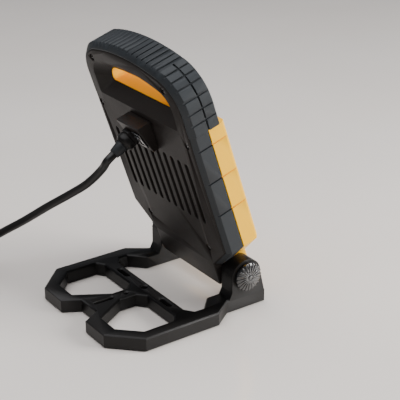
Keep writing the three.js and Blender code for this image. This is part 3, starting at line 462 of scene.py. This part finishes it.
def black_moulding(name, tone, lift, rough, grain_depth, round_off):
    nylon = Finish(name, Specular_IOR_Level=0.18)
    cloud = nylon.noise(14, 4)
    streak = nylon.noise(75, 5, 0.7)
    grain = nylon.noise(1250, 3, 0.6)
    colour = nylon.blend(cloud * 0.6 + streak * 0.4, tone, lift)
    worn = nylon.worn_edges()
    nylon.feed("Base Color", nylon.blend(worn * 0.4, colour, (0.032, 0.030, 0.029, 1)))
    nylon.feed("Roughness", rough + streak * 0.12 + grain * 0.08)
    nylon.relief(grain, grain_depth, 0.6, round_off)
    return nylon


satin_nylon = black_moulding("satin_nylon", (0.002, 0.002, 0.0022, 1), (0.005, 0.0046, 0.0045, 1),
                             rough=0.22, grain_depth=0.00009, round_off=0.001)
stand_body = refined("stand_frame")
satin_nylon.on(stand_body)
settle(stand_body, "stand")

# ------------------------------------------------------------------ tilt knobs and pivot
# Each side is held by a steel stud through the lug, with a fibre washer inside,
# a captive nut in the head's foot and a glossy ribbed knob outside.

gloss_knob = Finish("gloss_knob", Specular_IOR_Level=0.7, Coat_Weight=0.5, Coat_Roughness=0.1)
knob_cloud = gloss_knob.noise(60, 3)
knob_colour = gloss_knob.blend(knob_cloud, (0.004, 0.0045, 0.005, 1), (0.010, 0.011, 0.013, 1))
gloss_knob.feed("Base Color", knob_colour)
gloss_knob.feed("Roughness", 0.16 + knob_cloud * 0.12)
gloss_knob.relief(gloss_knob.noise(900, 2), 0.00004, 0.35)

fibre = moulded_rubber("washer_fibre", (0.008, 0.008, 0.008, 1))


def zinc_steel():
    steel = Finish("zinc_steel", Metallic=1.0)
    haze = steel.noise(220, 4)
    steel.feed("Base Color", steel.blend(haze, (0.33, 0.33, 0.34, 1), (0.56, 0.56, 0.57, 1)))
    steel.feed("Roughness", 0.26 + haze * 0.22)
    steel.relief(steel.noise(2400, 2), 0.00003, 0.35)
    return steel


steel = zinc_steel()

DISC_OUTLINE = (   # radius and height, from the bore out along the back and in over the front
    (0.0034, 0.0), (0.0148, 0.0), (0.0152, 0.0005), (0.0152, 0.0036),
    (0.0138, 0.0048), (0.0062, 0.0056), (0.0058, 0.0048), (0.0034, 0.0046),
)
DISC_STEPS = 72
RIB_COUNT = 20
RIB_START, RIB_LENGTH, RIB_WIDTH = 0.0033, 0.0120, 0.0018
RIB_HEIGHT, RIB_FALL = 0.0069, 0.0019   # at the middle, and how much lower at the rim
RIB_ROUNDING = 0.0005
DOME_FOOT, DOME_CROWN, DOME_HEIGHT, DOME_MIDDLE = 0.0046, 0.0024, 0.0014, 0.0062


def ribbed_knob():
    disc = bmesh.new()
    section = [disc.verts.new((radius, 0, height)) for radius, height in DISC_OUTLINE]
    ring = [disc.edges.new((a, b)) for a, b in zip(section, section[1:] + section[:1])]
    bmesh.ops.spin(disc, geom=section + ring, cent=(0, 0, 0), axis=(0, 0, 1), angle=math.tau,
                   steps=DISC_STEPS, use_merge=True)
    bmesh.ops.remove_doubles(disc, verts=disc.verts, dist=0.00001)
    outwards = Matrix.Translation((RIB_START + RIB_LENGTH / 2, 0, RIB_HEIGHT / 2))
    block = Matrix.Diagonal((RIB_LENGTH, RIB_WIDTH, RIB_HEIGHT, 1))
    for i in range(RIB_COUNT):
        turn = Matrix.Rotation(math.tau * i / RIB_COUNT, 4, "Z")
        rib = bmesh.ops.create_cube(disc, size=1.0)["verts"]
        bmesh.ops.transform(disc, verts=rib, matrix=turn @ outwards @ block)
        for v in rib:
            if v.co.z > RIB_HEIGHT / 2:
                v.co.z = RIB_HEIGHT - RIB_FALL * (v.co.xy.length - RIB_START) / RIB_LENGTH
        sides = list(dict.fromkeys(e for v in rib for e in v.link_edges))
        bmesh.ops.bevel(disc, geom=sides, offset=RIB_ROUNDING, offset_type="OFFSET", segments=2,
                        profile=0.5, affect="EDGES", material=-1)
    dome = bmesh.ops.create_cone(disc, cap_ends=True, cap_tris=False, segments=36, radius1=DOME_FOOT,
                                 radius2=DOME_CROWN, depth=DOME_HEIGHT)["verts"]
    bmesh.ops.translate(disc, verts=dome, vec=(0, 0, DOME_MIDDLE))
    return disc


for side in ("left", "right"):
    low, high = (Vector(c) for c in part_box("knob_" + side))
    middle = (low + high) / 2
    outward = -1 if side == "left" else 1
    inner_x = high.x if side == "left" else low.x
    disc = ribbed_knob()
    quarter = Matrix.Rotation(math.radians(90 * outward), 4, "Y")
    bmesh.ops.transform(disc, verts=disc.verts,
                        matrix=Matrix.Translation((inner_x, middle.y, middle.z)) @ quarter)
    bmesh.ops.recalc_face_normals(disc, faces=disc.faces)
    knob_mesh = bpy.data.meshes.new("knob_" + side)
    disc.to_mesh(knob_mesh)
    disc.free()
    knob = show("ribbed_knob_" + side, knob_mesh)
    knob_mesh.shade_smooth()
    knob_mesh.set_sharp_from_angle(angle=math.radians(38))
    gloss_knob.on(knob)
    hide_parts("knob_" + side)
    settle(knob, "knob_" + side)

    stud = refined("stud_" + side, 0.0003)
    steel.on(stud)
    settle(stud, "knob_" + side)
    washer = refined("friction_washer_" + side, 0.0002)
    fibre.on(washer)
    settle(washer, "stand")
    nut = refined("tilt_nut_" + side, 0.0003)
    steel.on(nut)
    settle(nut, "head")

# ------------------------------------------------------------------ rear cover
# Moulded half of the housing in black ABS with a fine spark texture: vent slots
# in front of the heat sink, a finger scoop at the handle and sunk screw seats.

textured_abs = black_moulding("textured_abs", (0.0045, 0.0026, 0.0020, 1), (0.0105, 0.0062, 0.0048, 1),
                              rough=0.38, grain_depth=0.00014, round_off=0.0007)
cover = refined("rear_cover")
textured_abs.on(cover)
settle(cover, "head")

# ------------------------------------------------------------------ front shell
# The other half of the housing in golden yellow ABS. It frames the window,
# makes the front blocks of the sides and lines the hand opening.


def yellow_abs():
    shell = Finish("yellow_abs", Specular_IOR_Level=0.2)
    cloud = shell.noise(11, 4)
    grain = shell.noise(1300, 3)
    worn = shell.worn_edges()
    colour = shell.blend(cloud, (0.99, 0.48, 0.001, 1), (1.0, 0.54, 0.002, 1))
    shell.feed("Base Color", shell.blend(worn * 0.3, colour, (1.0, 0.58, 0.03, 1)))
    shell.feed("Roughness", 0.30 + cloud * 0.10 + grain * 0.08)
    shell.relief(grain, 0.00008, 0.5, 0.0009)
    return shell


golden = yellow_abs()
shell_piece = refined("front_shell")
golden.on(shell_piece)
settle(shell_piece, "head")

# ------------------------------------------------------------------ bumpers
# Thick soft-touch rubber moulded round the head: plain blocks down both sides,
# and a tread of blocks round the upper corners that turns to ribs on the crown.

bumper_rubber = moulded_rubber("bumper_rubber", (0.006, 0.008, 0.010, 1), 0.0008)
for node in ("side_bumper_left", "side_bumper_right", "upper_bumper"):
    piece = refined(node)
    bumper_rubber.on(piece)
    settle(piece, "head")

# ------------------------------------------------------------------ lamp unit
# Behind the clear polycarbonate window: a foam-rubber seal, a white reflector
# tray, the LED board and an extruded aluminium heat sink with upright fins.

clear = Finish("clear_window", Base_Color=(0.94, 0.97, 0.98, 1), Transmission_Weight=1.0, IOR=1.49)
clear_haze = clear.noise(45, 3)
clear.feed("Roughness", 0.02 + clear_haze * 0.05)
clear.relief(clear.noise(9, 2), 0.0002, 0.15)
clear_piece = refined("lens", 0.0004)
clear.on(clear_piece)
settle(clear_piece, "head")

seal = refined("lens_gasket", 0.0002)
fibre.on(seal)
settle(seal, "head")


def white_moulding(name, low, high, rough):
    white = Finish(name)
    cloud = white.noise(30, 3)
    white.feed("Base Color", white.blend(cloud, low, high))
    white.feed("Roughness", rough + cloud * 0.15)
    white.relief(white.noise(1100, 2), 0.00005, 0.4)
    return white


def phosphor_board():
    """White enamel, and yellow phosphor on the chips, which stand in front of the board."""
    into_head = (0, 0.94943, -0.31399)   # square to the board, from the lit side to the back
    chip_backs = -0.0823                 # along it, what lies before this is a chip
    board = Finish("led_chips", Specular_IOR_Level=0.5)
    depth = board.node("VectorMath", {"operation": "DOT_PRODUCT"}, board.place(), into_head)
    chips = board.node("Math", {"operation": "LESS_THAN"}, depth, chip_backs)
    speckle = board.noise(900, 2)
    enamel = board.blend(speckle, (0.76, 0.78, 0.76, 1), (0.84, 0.85, 0.83, 1))
    yellow_coat = board.blend(speckle, (0.90, 0.62, 0.06, 1), (0.96, 0.74, 0.12, 1))
    board.feed("Base Color", board.blend(chips, enamel, yellow_coat))
    board.feed("Roughness", 0.28 + speckle * 0.2)
    board.relief(speckle, 0.00004, 0.4)
    return board


white_tray = white_moulding("white_tray", (0.80, 0.80, 0.78, 1), (0.88, 0.88, 0.87, 1), 0.25)
white_case = white_moulding("white_board", (0.74, 0.76, 0.74, 1), (0.83, 0.84, 0.82, 1), 0.35)
for node, finish in (("reflector", white_tray), ("led_board", phosphor_board()),
                     ("led_driver", white_case), ("terminal_block", white_tray)):
    piece = refined(node, 0.0003)
    finish.on(piece)
    settle(piece, "head")

cast = Finish("extruded_aluminium", Metallic=1.0)
drawn = cast.noise(160, 4)
cast.feed("Base Color", cast.blend(drawn, (0.50, 0.51, 0.52, 1), (0.68, 0.69, 0.70, 1)))
cast.feed("Roughness", 0.30 + drawn * 0.2)
cast.relief(drawn, 0.00005, 0.4)
sink = refined("heat_sink", 0.0003)
cast.on(sink)
settle(sink, "head")

# ------------------------------------------------------------------ screws
# Cross-recessed steel screws: six hold the two halves of the housing, sunk in
# the rear cover, and four clamp the heat sink to the reflector.

for node in [f"cover_screw_{i}" for i in range(1, 7)] + [f"sink_screw_{i}" for i in range(1, 5)]:
    screw = refined(node, 0.00015)
    steel.on(screw)
    settle(screw, "head")

# ------------------------------------------------------------------ junction box and switch
# A wedge-shaped box of the cover's own plastic with a glossy rocker switch and
# the cable gland side by side on its back face.

terminal_box = refined("junction_box", 0.0008, 3)
textured_abs.on(terminal_box)
settle(terminal_box, "head")
bezel = refined("switch_body", 0.0003)
gloss_knob.on(bezel)
settle(bezel, "head")
rocker = refined("switch_rocker", 0.0004)
gloss_knob.on(rocker)
settle(rocker, "rocker")

# ------------------------------------------------------------------ cable gland and strain relief
# Nylon gland: a hexagon screwed into the box, a lock nut inside, a domed nut
# that squeezes the seal, and a tapering ribbed sleeve that guards the cord.

for node, width in (("gland_body", 0.0005), ("gland_lock_nut", 0.0003), ("gland_nut", 0.0005)):
    piece = refined(node, width)
    satin_nylon.on(piece)
    settle(piece, "head")
sleeve = refined("strain_relief", 0.0003)
plug_rubber.on(sleeve)
settle(sleeve, "head")
